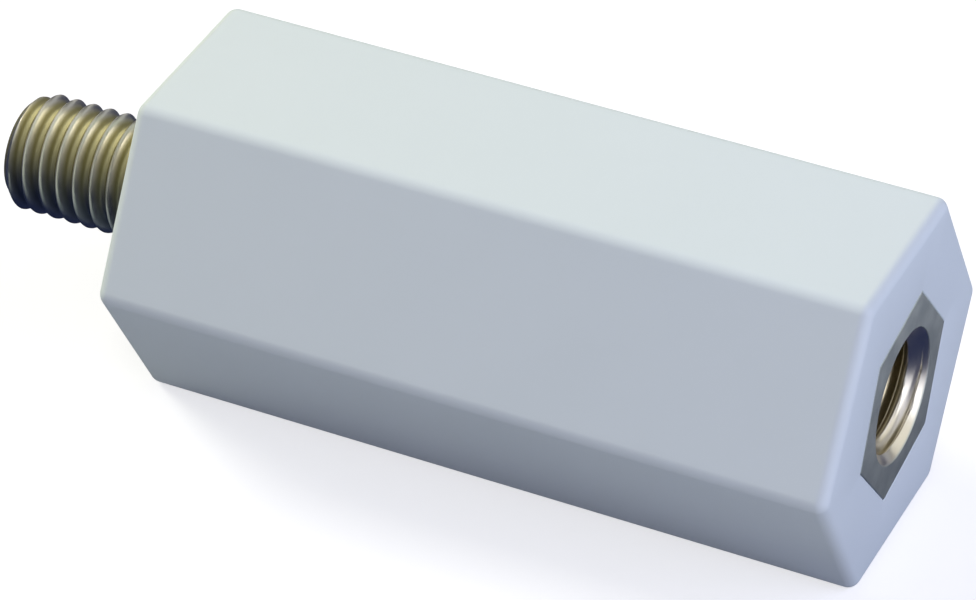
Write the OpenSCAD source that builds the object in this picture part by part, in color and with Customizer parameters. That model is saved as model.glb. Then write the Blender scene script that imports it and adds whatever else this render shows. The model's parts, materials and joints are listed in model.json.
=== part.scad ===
// Insulating standoff. A hexagonal plastic body is moulded round two metal pieces,
// both turned from the same hexagonal bar: a stud with an outside thread at one
// end and a tapped insert at the other. Each bar is flush with its end face and
// grooved, so that the plastic keeps it from turning and from pulling out. Solid
// plastic between the two keeps them apart electrically.
// The axis of the part runs along X. The stud points to -X, the tapped hole
// opens to +X, and X = 0 is the end face that the stud stands out of.
// The part lies on one of its flats, so two of the flats face up and down.

/* [Body] */
// Width of the hexagonal body across its flats
body_af = 22; // [18:0.5:32]
// Length of the body between its two end faces
body_l = 50; // [40:1:100]
// Radius along the six long edges
long_edge_r = 1; // [0.4:0.1:2.5]
// Radius round the two end faces
end_edge_r = 0.8; // [0.3:0.1:2]

/* [Thread] */
// Outer diameter of the thread on the stud and in the insert
thread_d = 8; // [6:0.5:9]
// Pitch of the thread
thread_pitch = 1.25; // [0.8:0.05:1.5]

/* [Metal bar] */
// Width of the hexagonal bar across its flats
bar_af = 12; // [11:0.5:14]
// Distance from the end face to the turned groove
groove_at = 5; // [2:0.5:8]
// Width of the turned groove
groove_w = 4; // [2:0.5:5]
// Depth of the turned groove below the flats
groove_depth = 0.8; // [0.3:0.1:1]

/* [Stud] */
// Length of the stud outside the body
stud_l = 12; // [6:0.5:30]
// Width of the chamfer at the tip of the stud
stud_chamfer = 0.75; // [0.3:0.05:1.2]
// Length of the stud's bar inside the body
stud_bar_l = 14; // [13.5:0.5:18]

/* [Insert] */
// Length of the tapped insert
insert_l = 20; // [18.5:0.5:22]
// Turn of the insert against the body's hexagon, about the axis
insert_turn = 10; // [-30:1:30]
// Depth of the tapped hole, without its drill point
tap_depth = 15; // [10:0.5:16]
// Included angle of the drill point at the bottom of the hole
drill_angle = 118; // [90:1:140]
// How much wider than the thread the countersunk mouth is
mouth_extra = 1; // [0.2:0.1:1.8]

/* [Hidden] */
$fn = 96;
// A hole of this size leaves a full thread when it is tapped
tap_d = thread_d - thread_pitch;
drill_point_h = tap_d / 2 / tan(drill_angle / 2);
// The mouth is cut at 45 degrees
mouth_d = thread_d + mouth_extra;
mouth_h = (mouth_d - tap_d) / 2;
bar_corner_d = bar_af / cos(30);
groove_d = bar_af - 2 * groove_depth;
// A cut runs this far past the surface that it opens
past = 1;

plastic = [0.78, 0.82, 0.85];
stud_metal = [0.72, 0.70, 0.52];
insert_metal = [0.45, 0.47, 0.48];

// Turns a shape that was drawn along Z onto the axis of the part, from x onwards.
module along_axis(x = 0) {
    translate([x, 0, 0]) rotate([0, 90, 0]) children();
}

// The same from the other end face, so that Z runs into the body from there.
module from_far_end() {
    along_axis(body_l) mirror([0, 0, 1]) children();
}

// Unit vector that points out of the side between corner i and the next one.
function side_normal(corners, i) =
    let (side = corners[(i + 1) % len(corners)] - corners[i])
    [side.y, -side.x] / norm(side);

// Filled outline with true arcs of radius r round its corners. The centres of
// the arcs are given anticlockwise.
module rounded_outline(centres, r) {
    count = len(centres);
    polygon([
        for (i = [0 : count - 1], side = [i + count - 1, i])
            centres[i] + r * side_normal(centres, side % count)
    ]);
    for (centre = centres) translate(centre) circle(r);
}

// Prism of the body with its long edges rounded.
module long_prism() {
    centre_r = (body_af / 2 - long_edge_r) / cos(30);
    along_axis() linear_extrude(body_l)
        rounded_outline([for (a = [30 : 60 : 330]) centre_r * [cos(a), sin(a)]], long_edge_r);
}

// Slab as thick as the body is across its flats, with its edges at both ends rounded.
module slab_with_round_ends() {
    x = [end_edge_r, body_l - end_edge_r];
    z = body_af / 2 - end_edge_r;
    rotate([90, 0, 0]) linear_extrude(2 * body_af, center = true)
        rounded_outline([[x[0], -z], [x[1], -z], [x[1], z], [x[0], z]], end_edge_r);
}

// The body before its pockets. Each slab rounds the end edges of one pair of flats.
module body_blank() {
    intersection() {
        long_prism();
        intersection_for(a = [0 : 60 : 120]) rotate([a, 0, 0]) slab_with_round_ends();
    }
}

// Hexagonal bar that starts flush with an end face and runs inwards along Z.
module grooved_bar(length) {
    difference() {
        rotate(30) cylinder(d = bar_corner_d, h = length, $fn = 6);
        translate([0, 0, groove_at]) difference() {
            cylinder(d = bar_corner_d + 2 * past, h = groove_w);
            translate([0, 0, -past]) cylinder(d = groove_d, h = groove_w + 2 * past);
        }
    }
}

// The stud outside the body, at the outer diameter of its thread.
module stud_shaft() {
    along_axis(-stud_l) cylinder(d1 = thread_d - 2 * stud_chamfer, d2 = thread_d, h = stud_chamfer);
    along_axis(stud_chamfer - stud_l) cylinder(d = thread_d, h = stud_l - stud_chamfer);
}

module stud_bar() {
    along_axis() grooved_bar(stud_bar_l);
}

module insert_bar() {
    from_far_end() rotate(insert_turn) grooved_bar(insert_l);
}

// Hole at its size before tapping, with its drill point and its countersunk mouth.
module tapped_hole() {
    from_far_end() {
        translate([0, 0, -past]) cylinder(d = tap_d, h = tap_depth + past);
        translate([0, 0, tap_depth]) cylinder(d1 = tap_d, d2 = 0, h = drill_point_h);
        translate([0, 0, -past]) cylinder(d1 = mouth_d + 2 * past, d2 = tap_d, h = mouth_h + past);
    }
}

module insulating_body() {
    color(plastic) difference() {
        body_blank();
        stud_bar();
        insert_bar();
    }
}

module threaded_stud() {
    color(stud_metal) {
        stud_shaft();
        stud_bar();
    }
}

module tapped_insert() {
    color(insert_metal) difference() {
        insert_bar();
        tapped_hole();
    }
}

insulating_body();
threaded_stud();
tapped_insert();
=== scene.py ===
"""Insulating standoff: a hexagonal plastic body moulded round a threaded stud and a tapped insert.

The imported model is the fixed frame. The body keeps its place and size there, and each of
the three nodes gets a finished piece of the same form: the plastic body with its rolled
edges and its fine lip round the metal, and the two metal pieces with their real helical
threads. The part's axis is X. Lengths are in metres, and angles about the axis run from
+Y towards +Z.
"""

import json
import math

import bmesh
import bpy
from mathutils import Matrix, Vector


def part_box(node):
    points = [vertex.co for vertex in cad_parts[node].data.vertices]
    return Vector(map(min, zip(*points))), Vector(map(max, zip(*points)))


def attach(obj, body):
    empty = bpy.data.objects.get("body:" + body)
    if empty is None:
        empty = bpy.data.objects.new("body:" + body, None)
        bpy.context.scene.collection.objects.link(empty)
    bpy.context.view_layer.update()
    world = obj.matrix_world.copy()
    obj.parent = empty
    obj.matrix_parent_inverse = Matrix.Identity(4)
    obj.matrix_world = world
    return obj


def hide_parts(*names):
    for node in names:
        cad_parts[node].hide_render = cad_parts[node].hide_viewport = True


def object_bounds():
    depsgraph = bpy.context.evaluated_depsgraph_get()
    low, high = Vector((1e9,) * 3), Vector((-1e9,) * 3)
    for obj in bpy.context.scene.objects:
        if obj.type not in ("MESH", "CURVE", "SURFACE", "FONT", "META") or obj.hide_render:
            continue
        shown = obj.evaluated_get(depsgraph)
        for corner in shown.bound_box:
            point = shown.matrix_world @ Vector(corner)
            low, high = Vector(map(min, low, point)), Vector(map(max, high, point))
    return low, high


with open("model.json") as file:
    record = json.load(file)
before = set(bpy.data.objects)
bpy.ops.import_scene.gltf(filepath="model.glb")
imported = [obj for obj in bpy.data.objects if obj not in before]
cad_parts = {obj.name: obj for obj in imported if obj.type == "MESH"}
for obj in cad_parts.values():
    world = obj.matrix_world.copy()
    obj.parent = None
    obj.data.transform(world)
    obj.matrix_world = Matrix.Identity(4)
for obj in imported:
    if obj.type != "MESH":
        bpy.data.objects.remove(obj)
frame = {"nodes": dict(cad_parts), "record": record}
cad_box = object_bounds()


# ---------------------------------------------------------------- sizes from the frame

MM = 0.001
FULL_TURN = 2 * math.pi
SIXTH = FULL_TURN / 6
HALF_SIXTH = SIXTH / 2

body_low, body_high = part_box("insulating_body")
stud_low, stud_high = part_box("threaded_stud")
insert_low, insert_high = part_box("tapped_insert")
mounts = {m["name"]: m for m in frame["record"]["mounts"]}

middle = (cad_box[0] + cad_box[1]) / 2
body_apothem = (body_high.z - body_low.z) / 2
bar_apothem = (stud_high.z - stud_low.z) / 2
thread_radius = mounts["stud"]["dims"]["r_mm"] * MM
tapped_radius = mounts["tapped_hole"]["dims"]["r_mm"] * MM

# The stud stands out by its full thread and, past that, its tip's 45 degree chamfer.
stud_tip = stud_low.x
stud_reach = body_low.x - stud_tip
tip_chamfer = stud_reach - mounts["stud"]["dims"]["length_mm"] * MM
tip_radius = thread_radius - tip_chamfer


# ---------------------------------------------------------------- sizes that the frame doesn't give

# The thread. A flank's share, and a crest's, is of half the pitch.
PITCH = 1.25 * MM
OUTSIDE_DEPTH = 0.61 * PITCH
FLANK_SHARE = 0.625
CREST_ROUNDING = 0.35
RUN_OUT = 1.2 * MM

# The body's rolled edges, and its fine lip round each bar.
LONG_EDGE_R = 1.0 * MM
END_EDGE_R = 0.8 * MM
LIP_R = 0.12 * MM

# Each bar's broken edges, and its turned groove, which starts GROOVE_AT from its face.
BAR_EDGE = 0.06 * MM
GROOVE_AT = 5 * MM
GROOVE_W = 4 * MM
GROOVE_DEPTH = 0.8 * MM
GROOVE_R = bar_apothem - GROOVE_DEPTH

# The countersunk mouth, and the tap, which cuts a little wider than the stud.
MOUTH_R = 4.5 * MM
TAP_R = thread_radius + 0.22 * MM
TAP_DEPTH = 15 * MM
DRILL_ANGLE = math.radians(118)

# How fine the meshes are. A long edge has its steps on both sides of its corner, and
# points that lie within SAME_SPOT become one.
STEPS_AROUND = 144
STEPS_PER_PITCH = 20
LIP_STEPS = 4
END_EDGE_STEPS = 8
LONG_EDGE_STEPS = 8
LONG_EDGE_STEP = math.radians(0.35)
CURTAIN_STEPS = 32
SAME_SPOT = 0.001 * MM


# ---------------------------------------------------------------- node trees

class Value:
    """A socket that takes part in a Python expression. Each operator adds a Math node."""

    def __init__(self, nodes, socket):
        self.nodes = nodes
        self.socket = socket

    def math(self, operation, *others):
        """A Math node that has this value first."""
        return self.nodes.math(operation, self, *others)

    def __add__(self, other):
        return self.math("ADD", other)

    def __radd__(self, other):
        return self.nodes.math("ADD", other, self)

    def __sub__(self, other):
        return self.math("SUBTRACT", other)

    def __rsub__(self, other):
        return self.nodes.math("SUBTRACT", other, self)

    def __mul__(self, other):
        return self.math("MULTIPLY", other)

    def __rmul__(self, other):
        return self.nodes.math("MULTIPLY", other, self)

    def __truediv__(self, other):
        return self.math("DIVIDE", other)

    def __rtruediv__(self, other):
        return self.nodes.math("DIVIDE", other, self)

    def ramp(self, low, high):
        """0 up to the low value, 1 from the high value, and a soft rise between them."""
        return self.nodes.add("ShaderNodeMapRange", {"interpolation_type": "SMOOTHSTEP"}, {
            "Value": self, "From Min": low, "From Max": high, "To Min": 0.0, "To Max": 1.0})


class Nodes:
    """Adds nodes to a tree and links them."""

    def __init__(self, tree):
        self.tree = tree

    def add(self, kind, settings=None, sockets=None, output=0):
        """One node: its settings first, then the values or links of its sockets, by name or number."""
        node = self.tree.nodes.new(kind)
        for name, value in (settings or {}).items():
            setattr(node, name, value)
        for key, value in (sockets or {}).items():
            if isinstance(value, Value):
                self.tree.links.new(value.socket, node.inputs[key])
            else:
                node.inputs[key].default_value = value
        return Value(self, node.outputs[output]) if node.outputs else node

    def math(self, operation, *values):
        """A Math node on values and plain numbers."""
        return self.add("ShaderNodeMath", {"operation": operation}, dict(enumerate(values)))

    def outputs(self, value):
        """Every output of the node that a value comes from, by name."""
        return {s.name: Value(self, s) for s in value.socket.node.outputs}

    def place(self):
        """Object coordinates, which are the part's own frame in metres."""
        return self.add("ShaderNodeTexCoord", output="Object")

    def parts(self, place):
        """A place's X, Y and Z."""
        return self.outputs(self.add("ShaderNodeSeparateXYZ", sockets={0: place}))

    def off_axis(self, place):
        """Distance from the axis."""
        part = self.parts(place)
        return (part["Y"] * part["Y"] + part["Z"] * part["Z"]).math("SQRT")

    def rings(self, place):
        """A vector that is the same all round the axis, for turned surfaces."""
        return self.add("ShaderNodeCombineXYZ", sockets={
            "X": self.parts(place)["X"], "Y": self.off_axis(place)})

    def noise(self, place, size, detail):
        """Soft noise from 0 to 1 whose features are about as large as the size."""
        return self.add("ShaderNodeTexNoise", sockets={"Vector": place, "Scale": 1 / size, "Detail": detail})

    def blend(self, share, first, second):
        """The first colour where the share is 0, and the second where it is 1.

        A Mix node has its sockets once for each kind of data under the same names, so
        those for colour go by number.
        """
        return self.add("ShaderNodeMix", {"data_type": "RGBA"}, {0: share, 6: first, 7: second}, output=2)

    def bump(self, height, depth):
        """A normal that shows a height as relief. A height of 1 is as deep as the depth."""
        return self.add("ShaderNodeBump", sockets={"Height": height, "Distance": depth})


def empty_nodes(owner):
    """The node tree of a new material or world, with no nodes in it yet."""
    owner.use_nodes = True
    owner.node_tree.nodes.clear()
    return Nodes(owner.node_tree)


def add_object(name, data):
    """A new object in the scene, at the origin."""
    made = bpy.data.objects.new(name, data)
    bpy.context.scene.collection.objects.link(made)
    return made


# ---------------------------------------------------------------- threads

def thread_tree():
    """Geometry Nodes that cut a right-handed thread round the X axis, from its face inwards.

    The grid is sheared by one pitch a turn, so that its lines run along the thread and
    its two sides meet. What reaches past an end is pressed onto that end. A 45 degree
    cone from the face cuts the first turns off, and the last turns run out to a plain wall.
    Direction is 1 or -1 along X, and Cone Side is 1 for an outside thread and -1 for an
    inside one.
    """
    tree = bpy.data.node_groups.new("helical_thread", "GeometryNodeTree")
    tree.interface.new_socket("Geometry", in_out="OUTPUT", socket_type="NodeSocketGeometry")
    for name in ("Face Position", "Direction", "Length", "Outer Radius", "Depth", "Pitch",
                 "Face Radius", "Cone Side", "Plain Radius", "Run Out", "First Angle", "Start",
                 "Crest Share", "Flank Share", "Crest Rounding", "Inner Rounding"):
        tree.interface.new_socket(name, in_out="INPUT", socket_type="NodeSocketFloat")
    for name in ("Steps Around", "Steps per Pitch"):
        tree.interface.new_socket(name, in_out="INPUT", socket_type="NodeSocketInt")
    tree.interface.new_socket("Material", in_out="INPUT", socket_type="NodeSocketMaterial")

    nodes = Nodes(tree)
    given = nodes.outputs(nodes.add("NodeGroupInput"))
    pitch, length = given["Pitch"], given["Length"]
    direction, side = given["Direction"], given["Cone Side"]

    # The grid lies between -0.5 and 0.5: its X is the turn, and its Y is the way along.
    pitches = (length / pitch + 1).math("CEIL")
    grid = nodes.add("GeometryNodeMeshGrid", sockets={
        "Size X": 1.0, "Size Y": 1.0,
        "Vertices X": given["Steps Around"] + 1,
        "Vertices Y": pitches * given["Steps per Pitch"] + 1})
    place = nodes.parts(nodes.add("GeometryNodeInputPosition"))
    turn = place["X"] + 0.5
    row = place["Y"] + 0.5
    sheared = (row * pitches + direction * turn - (direction + 1) / 2) * pitch
    inwards = nodes.add("ShaderNodeClamp", sockets={"Value": sheared, "Min": 0.0, "Max": length})

    # The profile: from_crest is 0 amid a crest and 1 amid a root, and height is 1 on a crest.
    phase = direction * inwards / pitch - turn + given["Start"]
    from_crest = ((phase - phase.math("FLOOR")) * 2 - 1).math("ABSOLUTE")
    flank = (given["Crest Share"] + given["Flank Share"] - from_crest) / given["Flank Share"]
    crested = flank.math("SMOOTH_MIN", 1.0, given["Crest Rounding"])
    height = crested.math("SMOOTH_MAX", 0.0, given["Inner Rounding"])
    cut = given["Outer Radius"] - given["Depth"] * (1 - height)

    # The two ends: the wall at the run-out, and the cone from the face.
    run_out = inwards.ramp(length - given["Run Out"], length)
    ending = cut + (given["Plain Radius"] - cut) * run_out
    cone = given["Face Radius"] + side * inwards
    radius = side * (side * ending).math("MINIMUM", side * cone)

    angle = turn * FULL_TURN + given["First Angle"]
    spot = nodes.add("ShaderNodeCombineXYZ", sockets={
        "X": given["Face Position"] + direction * inwards,
        "Y": radius * angle.math("COSINE"),
        "Z": radius * angle.math("SINE")})
    wrapped = nodes.add("GeometryNodeSetPosition", sockets={"Geometry": grid, "Position": spot})
    closed = nodes.add("GeometryNodeMergeByDistance", sockets={"Geometry": wrapped, "Distance": SAME_SPOT})
    whole = nodes.add("GeometryNodeRealizeInstances", sockets={"Geometry": closed})
    coated = nodes.add("GeometryNodeSetMaterial", sockets={"Geometry": whole, "Material": given["Material"]})
    nodes.add("NodeGroupOutput", sockets={"Geometry": coated})
    return tree


def run_tree(tree, values):
    """The mesh that a Geometry Nodes tree makes from named inputs."""
    holder = add_object("holder", bpy.data.meshes.new("holder"))
    modifier = holder.modifiers.new("tree", "NODES")
    modifier.node_group = tree
    identifiers = {s.name: s.identifier for s in tree.interface.items_tree if s.in_out == "INPUT"}
    for name, value in values.items():
        modifier[identifiers[name]] = value
    made = holder.evaluated_get(bpy.context.evaluated_depsgraph_get())
    mesh = bpy.data.meshes.new_from_object(made)
    bpy.data.objects.remove(holder)
    return mesh


# ---------------------------------------------------------------- turned and moulded forms

def circle(radius):
    """Distance from the axis to a circle, at any angle."""
    return lambda angle: radius


def hexagon(apothem, turn=0.0, corner_r=0.0):
    """Distance from the axis to a hexagon's outline, by angle, with its corners rounded."""
    centre = (apothem - corner_r) / math.cos(HALF_SIXTH)
    arc_end = math.atan2(corner_r / 2, centre + corner_r * math.cos(HALF_SIXTH))

    def reach(angle):
        from_corner = abs((angle - turn + HALF_SIXTH) % SIXTH - HALF_SIXTH)
        if from_corner < arc_end:
            return centre * math.cos(from_corner) + math.sqrt(
                corner_r ** 2 - (centre * math.sin(from_corner)) ** 2)
        return apothem / math.cos(HALF_SIXTH - from_corner)
    return reach


def quarter(steps):
    """The angles of a quarter turn, from 0 to 90 degrees, in equal steps."""
    return [math.radians(90 * i / steps) for i in range(steps + 1)]


def skin(shape, angles, rings):
    """Adds a skin over rings round the axis, each an (x, reach) pair. A reach of 0 is a pole."""
    before = None
    for x, reach in rings:
        if reach:
            ring = [shape.verts.new((x, reach(a) * math.cos(a), reach(a) * math.sin(a))) for a in angles]
        else:
            ring = [shape.verts.new((x, 0.0, 0.0))]
        if before:
            count = len(angles)
            for i in range(count):
                j = (i + 1) % count
                if len(ring) == 1:
                    shape.faces.new((before[i], before[j], ring[0]))
                elif len(before) == 1:
                    shape.faces.new((before[0], ring[j], ring[i]))
                else:
                    shape.faces.new((before[i], before[j], ring[j], ring[i]))
        before = ring


def grooved(face_x, inwards, side):
    """Rings of a bar's turned groove, or of the plastic in it, between two stretches of a side."""
    groove = circle(GROOVE_R)
    start = face_x + inwards * GROOVE_AT
    end = start + inwards * GROOVE_W
    return [(start, side), (start, groove), (end, groove), (end, side)]


def bar_side(face_x, inwards, far_x, turn):
    """Rings of the hexagonal bar's side, from its broken front edge over its groove to its back."""
    side = hexagon(bar_apothem, turn)
    eased = hexagon(bar_apothem - BAR_EDGE, turn)
    front = [(face_x, eased), (face_x + inwards * BAR_EDGE, side)]
    back = [(far_x - inwards * BAR_EDGE, side), (far_x, eased), (far_x, 0)]
    return front + grooved(face_x, inwards, side) + back


def pocket(face_x, inwards, far_x, turn):
    """Rings of the moulded pocket round a bar, from the fine lip at the end face to its floor."""
    lip = [(face_x + inwards * LIP_R * (1 - math.cos(a)),
            hexagon(bar_apothem + LIP_R * (1 - math.sin(a)), turn)) for a in quarter(LIP_STEPS)]
    wall = hexagon(bar_apothem, turn)
    return lip + grooved(face_x, inwards, wall) + [(far_x, wall), (far_x, 0)]


def rolled_end(face_x, inwards):
    """Rings of the body's rolled end edge, from the end face to the flats."""
    rings = []
    for a in reversed(quarter(END_EDGE_STEPS)):
        inset = END_EDGE_R * (1 - math.cos(a))
        rings.append((face_x + inwards * END_EDGE_R * (1 - math.sin(a)),
                      hexagon(body_apothem - inset, 0.0, LONG_EDGE_R - inset)))
    return rings


def corner_angle(node):
    """Angle of a bar's first corner, from the node's own farthest point off the axis."""
    points = [v.co for v in frame["nodes"][node].data.vertices]
    far = max(points, key=lambda p: math.hypot(p.y, p.z))
    return math.atan2(far.z, far.y) % SIXTH


# ---------------------------------------------------------------- materials

def material(name, fixed, varying):
    """A finish: fixed values go on the shader's own sockets, and nodes feed those that vary."""
    made = bpy.data.materials.new(name)
    nodes = empty_nodes(made)
    shader = nodes.add("ShaderNodeBsdfPrincipled", sockets={**fixed, **varying(nodes)})
    nodes.add("ShaderNodeOutputMaterial", sockets={"Surface": shader})
    return made


def moulded_plastic(nodes):
    """Pale cool plastic: faint clouding from the flow, a fine grain and a softly uneven surface."""
    place = nodes.place()
    cloud = nodes.noise(place, 9 * MM, 3.0)
    fleck = nodes.noise(place, 0.8 * MM, 3.0)
    grain = nodes.noise(place, 0.14 * MM, 2.0)
    sink = nodes.noise(place, 14 * MM, 1.0)
    height = sink * 0.030 + fleck * 0.0012 + grain * 0.0016
    return {
        "Base Color": nodes.blend(cloud, (0.655, 0.722, 0.694, 1.0), (0.690, 0.754, 0.727, 1.0)),
        "Roughness": 0.48 + cloud * 0.08 + grain * 0.08,
        "Normal": nodes.bump(height, 1.0 * MM)}


def passivated_steel(nodes):
    """Yellow-passivated zinc on steel: olive, dull and darker in the roots, pale and worn on the crests.
    The darker roots are painted shade, and the pale crests are partly a painted highlight.

    Towards the underside the colour is painted dark and bluish: painted shade and a painted reflection of
    the dark floor.
    """
    place = nodes.place()
    patch = nodes.noise(place, 1.6 * MM, 3.0)
    turned = nodes.noise(nodes.rings(place), 0.05 * MM, 2.0)
    off_axis = nodes.off_axis(place) + patch * (0.12 * MM)
    # By distance from the axis: the roots are darker and olive as painted shade, and the crests pale as worn
    # zinc and partly a painted highlight.
    crest = off_axis.ramp(thread_radius - 0.56 * MM, thread_radius - 0.12 * MM)
    # Painted shade and a painted reflection: below this ramp on the part's Z, roots and crests are blended
    # to dark bluish grey.
    above_painted_shade = (nodes.parts(place)["Z"] + patch * (0.8 * MM)).ramp(-1.6 * MM, 2.8 * MM)
    olive = nodes.blend(patch, (0.31, 0.287, 0.145, 1.0), (0.41, 0.378, 0.212, 1.0))
    cream = nodes.blend(patch.ramp(0.35, 0.65), (0.72, 0.69, 0.59, 1.0), (0.70, 0.68, 0.62, 1.0))
    # The dark bluish greys here are painted shade under the stud, not the zinc's own tone.
    root = nodes.blend(above_painted_shade, (0.20, 0.23, 0.27, 1.0), olive)
    crest_tone_and_painted_shade = nodes.blend(above_painted_shade, (0.36, 0.39, 0.44, 1.0), cream)
    return {
        "Base Color": nodes.blend(crest, root, crest_tone_and_painted_shade),
        "Roughness": 0.50 - crest * 0.24 + patch * 0.08,
        "Normal": nodes.bump(turned * 0.5 + patch * 0.5, 0.004 * MM)}


def turned_steel(nodes):
    """Plain turned steel: a dull grey rim with fine rings, and a bright thread.

    The thread is painted darker and more golden deeper in the hole, and darker in its grooves, as painted
    shade.
    """
    place = nodes.place()
    off_axis = nodes.off_axis(place)
    patch = nodes.noise(place, 1.8 * MM, 3.0)
    turned = nodes.noise(nodes.rings(place), 0.06 * MM, 2.0)
    outside = (off_axis + patch * (0.06 * MM)).ramp(MOUTH_R - 0.10 * MM, MOUTH_R + 0.06 * MM)
    inside = 1 - outside
    rim = nodes.blend(patch.ramp(0.3, 0.7), (0.44, 0.49, 0.52, 1.0), (0.55, 0.60, 0.62, 1.0))
    # Painted shade: from 1 to 2.2 mm deep the thread's colour turns darker and golden.
    depth = insert_high.x - nodes.parts(place)["X"]
    painted_depth_shade = (depth + patch * (0.3 * MM)).ramp(1.0 * MM, 2.2 * MM)
    cut = nodes.blend(painted_depth_shade, (0.80, 0.77, 0.72, 1.0), (0.64, 0.58, 0.44, 1.0))
    ridge = (MOUTH_R - depth).math("MAXIMUM", tapped_radius)
    # Painted shade in the grooves between the thread's turns: they get a darker brown.
    groove = (off_axis - ridge).ramp(0.08 * MM, 0.34 * MM)
    bore = nodes.blend(groove * inside, cut, (0.52, 0.47, 0.34, 1.0))
    return {
        "Base Color": nodes.blend(inside, rim, bore),
        "Roughness": 0.58 - inside * 0.32 + patch * 0.06,
        "Normal": nodes.bump(turned * 0.6 + patch * 0.4, 0.005 * MM)}


# ---------------------------------------------------------------- the three pieces

plastic = material("moulded_plastic", {"IOR": 1.46}, moulded_plastic)
stud_metal = material("passivated_steel", {"Metallic": 1.0}, passivated_steel)
insert_metal = material("turned_steel", {"Metallic": 1.0}, turned_steel)

thread = thread_tree()
stud_turn = corner_angle("threaded_stud")
insert_turn = corner_angle("tapped_insert")


def steps_from(first):
    """The angles of evenly spaced mesh lines round the axis."""
    return [first + i * FULL_TURN / STEPS_AROUND for i in range(STEPS_AROUND)]


def body_steps():
    """The angles of the body's mesh lines: even ones, and more at the corners.

    The turned bar's pocket has a line at each corner, and each rolled long edge has close
    ones. The angles are rounded, so that lines that fall together count once.
    """
    corners = [k * SIXTH for k in range(6)]
    edge = [i * LONG_EDGE_STEP for i in range(-LONG_EDGE_STEPS, LONG_EDGE_STEPS + 1)]
    angles = steps_from(0.0) + [corner + insert_turn for corner in corners]
    angles += [corner + step for corner in corners for step in edge]
    return sorted({round(a % FULL_TURN, 6) % round(FULL_TURN, 6) for a in angles})


def cut_thread(finish, turn, sizes):
    """A shape that holds a helical thread, to which the rest of its piece is added."""
    mesh = run_tree(thread, {
        "Pitch": PITCH, "Flank Share": FLANK_SHARE, "Crest Rounding": CREST_ROUNDING,
        "Run Out": RUN_OUT, "Steps Around": STEPS_AROUND, "Steps per Pitch": STEPS_PER_PITCH,
        "First Angle": turn, "Material": finish, **sizes})
    shape = bmesh.new()
    shape.from_mesh(mesh)
    bpy.data.meshes.remove(mesh)
    return shape


def finished(name, shape, finish, node, sharp):
    """Closes a shape's seams and makes it the piece that stands for a node."""
    bmesh.ops.remove_doubles(shape, verts=shape.verts, dist=SAME_SPOT)
    bmesh.ops.recalc_face_normals(shape, faces=shape.faces)
    mesh = bpy.data.meshes.new(name)
    shape.to_mesh(mesh)
    shape.free()
    mesh.materials.append(finish)
    mesh.shade_smooth()
    mesh.set_sharp_from_angle(angle=math.radians(sharp))
    piece = add_object(name, mesh)
    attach(piece, "root")
    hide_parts(node)


def make_body():
    """The plastic body: rolled end edges, and a lipped pocket round each metal bar."""
    stud_pocket = pocket(body_low.x, 1, stud_high.x, stud_turn)
    insert_pocket = pocket(body_high.x, -1, insert_low.x, insert_turn)
    outside = rolled_end(body_low.x, 1) + rolled_end(body_high.x, -1)[::-1]
    shape = bmesh.new()
    skin(shape, body_steps(), stud_pocket[::-1] + outside + insert_pocket)
    finished("moulded_body", shape, plastic, "insulating_body", sharp=35)


def make_stud():
    """The stud: its thread, its tip, its shoulder and its grooved hexagonal bar."""
    shape = cut_thread(stud_metal, stud_turn, {
        "Face Position": stud_tip, "Direction": 1.0, "Length": stud_reach,
        "Outer Radius": thread_radius, "Depth": OUTSIDE_DEPTH, "Plain Radius": thread_radius,
        "Face Radius": tip_radius, "Cone Side": 1.0,
        "Start": 0.56, "Crest Share": 0.08, "Inner Rounding": 0.3})
    angles = steps_from(stud_turn)
    shoulder = [(body_low.x, circle(thread_radius))]
    skin(shape, angles, [(stud_tip, 0), (stud_tip, circle(tip_radius))])
    skin(shape, angles, shoulder + bar_side(body_low.x, 1, stud_high.x, stud_turn))
    finished("stud_with_thread", shape, stud_metal, "threaded_stud", sharp=40)


def make_insert():
    """The insert: its countersunk rim, its inside thread, its drill point and its hexagonal bar."""
    thread_length = TAP_DEPTH - PITCH
    thread_end = insert_high.x - thread_length
    bottom = insert_high.x - TAP_DEPTH
    point = bottom - tapped_radius / math.tan(DRILL_ANGLE / 2)
    shape = cut_thread(insert_metal, insert_turn, {
        "Face Position": insert_high.x, "Direction": -1.0, "Length": thread_length,
        "Outer Radius": TAP_R, "Depth": TAP_R - tapped_radius, "Plain Radius": tapped_radius,
        "Face Radius": MOUTH_R, "Cone Side": -1.0,
        "Start": 0.77, "Crest Share": 0.06, "Inner Rounding": 1.2})
    angles = steps_from(insert_turn)
    wall = circle(tapped_radius)
    rim = [(insert_high.x, circle(MOUTH_R))]
    skin(shape, angles, [(thread_end, wall), (bottom, wall), (point, 0)])
    skin(shape, angles, rim + bar_side(insert_high.x, -1, insert_low.x, insert_turn))
    finished("insert_with_thread", shape, insert_metal, "tapped_insert", sharp=40)


make_body()
make_stud()
make_insert()


# ---------------------------------------------------------------- floor, light and camera

def towards(azimuth, elevation):
    """Direction from the part, with azimuth 0 in front of it and 90 past its tapped end."""
    a = math.radians(azimuth)
    e = math.radians(elevation)
    return Vector((math.sin(a) * math.cos(e), -math.cos(a) * math.cos(e), math.sin(e)))


def panel(name, corners):
    """A mesh of one face, by its four corners."""
    mesh = bpy.data.meshes.new(name)
    mesh.from_pydata(corners, [], [(0, 1, 2, 3)])
    return mesh


def level_panel(name, low, high, z):
    """A level rectangle between two corners."""
    return panel(name, [(low[0], low[1], z), (high[0], low[1], z),
                        (high[0], high[1], z), (low[0], high[1], z)])


def seen(nodes):
    """1 for the rays that show the studio itself: straight, mirrored or through glass."""
    ray = nodes.outputs(nodes.add("ShaderNodeLightPath"))
    shown = ray["Is Camera Ray"] + ray["Is Glossy Ray"] + ray["Is Transmission Ray"]
    return shown.math("MINIMUM", 1.0)


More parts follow.
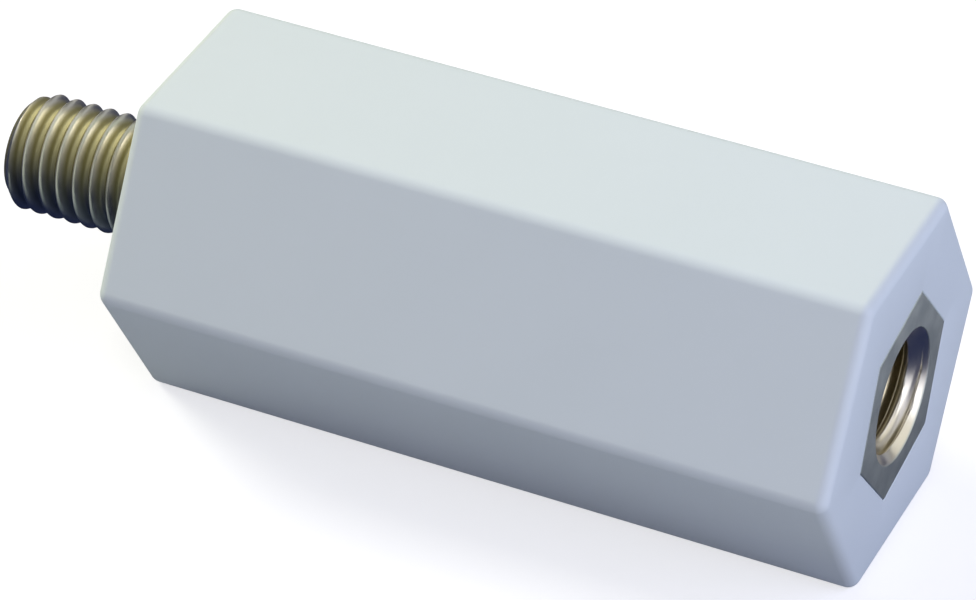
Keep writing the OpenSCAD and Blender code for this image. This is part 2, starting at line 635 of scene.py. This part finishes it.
def floor(half_width):
    """A wide pale floor under the lowest flat. It looks white and throws back little light."""
    made = bpy.data.materials.new("pale_floor")
    nodes = empty_nodes(made)
    pale = nodes.add("ShaderNodeBsdfDiffuse", sockets={"Color": (0.50, 0.50, 0.50, 1.0)})
    lift = nodes.add("ShaderNodeEmission", sockets={"Color": (1.0, 1.0, 1.0, 1.0), "Strength": 0.63})
    bright = nodes.add("ShaderNodeAddShader", sockets={0: pale, 1: lift})
    dull = nodes.add("ShaderNodeBsdfDiffuse", sockets={"Color": (0.42, 0.44, 0.48, 1.0)})
    look = nodes.add("ShaderNodeMixShader", sockets={0: seen(nodes), 1: dull, 2: bright})
    nodes.add("ShaderNodeOutputMaterial", sockets={"Surface": look})
    mesh = level_panel("floor", (-half_width, -half_width), (half_width, half_width), body_low.z)
    mesh.materials.append(made)
    ground = add_object("floor", mesh)


def room():
    """A white room to look at, which lights the part only weakly."""
    world = bpy.data.worlds.new("room")
    nodes = empty_nodes(world)
    white = nodes.add("ShaderNodeBackground", sockets={"Color": (1.0, 1.0, 1.0, 1.0), "Strength": 1.0})
    dim = nodes.add("ShaderNodeBackground", sockets={"Color": (1.0, 1.0, 1.0, 1.0), "Strength": 0.12})
    look = nodes.add("ShaderNodeMixShader", sockets={0: seen(nodes), 1: dim, 2: white})
    nodes.add("ShaderNodeOutputWorld", sockets={"Surface": look})
    bpy.context.scene.world = world


def card(name, mesh, colour, strength):
    """A board that is only seen mirrored: in the metal, and faintly in the plastic.

    It gives matt surfaces no light and casts no shadow.
    """
    made = bpy.data.materials.new(name)
    nodes = empty_nodes(made)
    glow = nodes.add("ShaderNodeEmission", sockets={"Color": colour, "Strength": strength})
    nodes.add("ShaderNodeOutputMaterial", sockets={"Surface": glow})
    made.cycles.emission_sampling = "NONE"
    mesh.materials.append(made)
    board = add_object(name, mesh)
    board.visible_camera = False
    board.visible_diffuse = False
    board.visible_shadow = False


def curtain(name, radius, low, high, first, last, strength):
    """Part of a round curtain, between two azimuths, mirrored as one dim side of the room."""
    shape = bmesh.new()
    before = None
    for i in range(CURTAIN_STEPS + 1):
        out = towards(first + (last - first) * i / CURTAIN_STEPS, 0) * radius
        line = [shape.verts.new((out.x, out.y, z)) for z in (low, high)]
        if before:
            shape.faces.new((before[0], line[0], line[1], before[1]))
        before = line
    mesh = bpy.data.meshes.new(name)
    shape.to_mesh(mesh)
    shape.free()
    card(name, mesh, (0.88, 0.93, 1.0, 1.0), strength)


def ground_card(low, high, colour):
    """A dark card that lies just above the floor, between two corners.

    It is a painted reflection of shade: mirrored in the metal, it stands for the shaded floor under the
    part.
    """
    card("ground_card", level_panel("ground_card", low, high, body_low.z + 0.3 * MM), colour, 1.0)


def sky_card(name, azimuth, elevation, distance, width, height, colour, strength):
    """A bright card that faces the part and is mirrored as a highlight."""
    out = towards(azimuth, elevation)
    across = Vector((0, 0, 1)).cross(out).normalized() * (width / 2)
    along = out.cross(across).normalized() * (height / 2)
    centre = middle + out * distance
    card(name, panel(name, [centre - across - along, centre + across - along,
                            centre + across + along, centre - across + along]), colour, strength)


def softbox(name, azimuth, elevation, distance, width, height, colour, share):
    """A soft lamp that isn't mirrored. Share is how bright a white face turned to it becomes."""
    lamp = bpy.data.lights.new(name, "AREA")
    lamp.shape = "RECTANGLE"
    lamp.size = width
    lamp.size_y = height
    lamp.energy = share * (math.pi * distance) ** 2
    lamp.color = colour
    out = towards(azimuth, elevation)
    box = add_object(name, lamp)
    box.location = middle + out * distance
    box.rotation_euler = out.to_track_quat("Z", "Y").to_euler()
    box.visible_camera = False
    box.visible_glossy = False


def camera(azimuth, elevation, distance, aim, view_angle):
    """The camera, which looks at its aim from a distance, with a view as many degrees wide."""
    eye = bpy.data.cameras.new("camera")
    eye.angle = math.radians(view_angle)
    eye.clip_start = 0.01
    out = towards(azimuth, elevation)
    stand = add_object("camera", eye)
    stand.location = aim + out * distance
    stand.rotation_euler = out.to_track_quat("Z", "Y").to_euler()
    bpy.context.scene.camera = stand


floor(half_width=2.0)
room()

curtain("front_curtain", radius=0.5, low=-0.002, high=0.42, first=-90, last=90, strength=0.34)
curtain("back_curtain", radius=0.5, low=-0.002, high=0.26, first=90, last=270, strength=0.10)
# A dark bluish card mirrored as the shaded floor under the part: a painted reflection of shade.
ground_card(low=(-0.48, -0.48), high=(0.085, 0.10), colour=(0.022, 0.030, 0.080, 1.0))
sky_card("sky_card", azimuth=-140, elevation=45, distance=0.55, width=0.52, height=0.58,
         colour=(1.0, 0.98, 0.88, 1.0), strength=3.1)
sky_card("side_card", azimuth=78, elevation=10, distance=0.40, width=0.24, height=0.18,
         colour=(1.0, 1.0, 1.0, 1.0), strength=2.0)
sky_card("cream_card", azimuth=120, elevation=22, distance=0.42, width=0.38, height=0.22,
         colour=(1.0, 0.97, 0.84, 1.0), strength=0.95)

softbox("overhead", azimuth=0, elevation=84, distance=0.60, width=0.60, height=0.60,
        colour=(1.0, 0.90, 0.35), share=0.05)
softbox("front", azimuth=22, elevation=30, distance=0.55, width=0.40, height=0.30,
        colour=(0.77, 0.75, 1.0), share=0.33)
softbox("right", azimuth=94, elevation=33, distance=0.45, width=0.42, height=0.42,
        colour=(0.64, 0.68, 1.0), share=0.80)
softbox("left", azimuth=-100, elevation=35, distance=1.20, width=0.50, height=0.50,
        colour=(1.0, 0.99, 0.86), share=0.88)

camera(azimuth=25.48, elevation=36.88, distance=0.3237,
       aim=middle + Vector((2.585, 0.0, -1.714)) * MM, view_angle=11.01)

bpy.context.scene.view_settings.view_transform = "Standard"
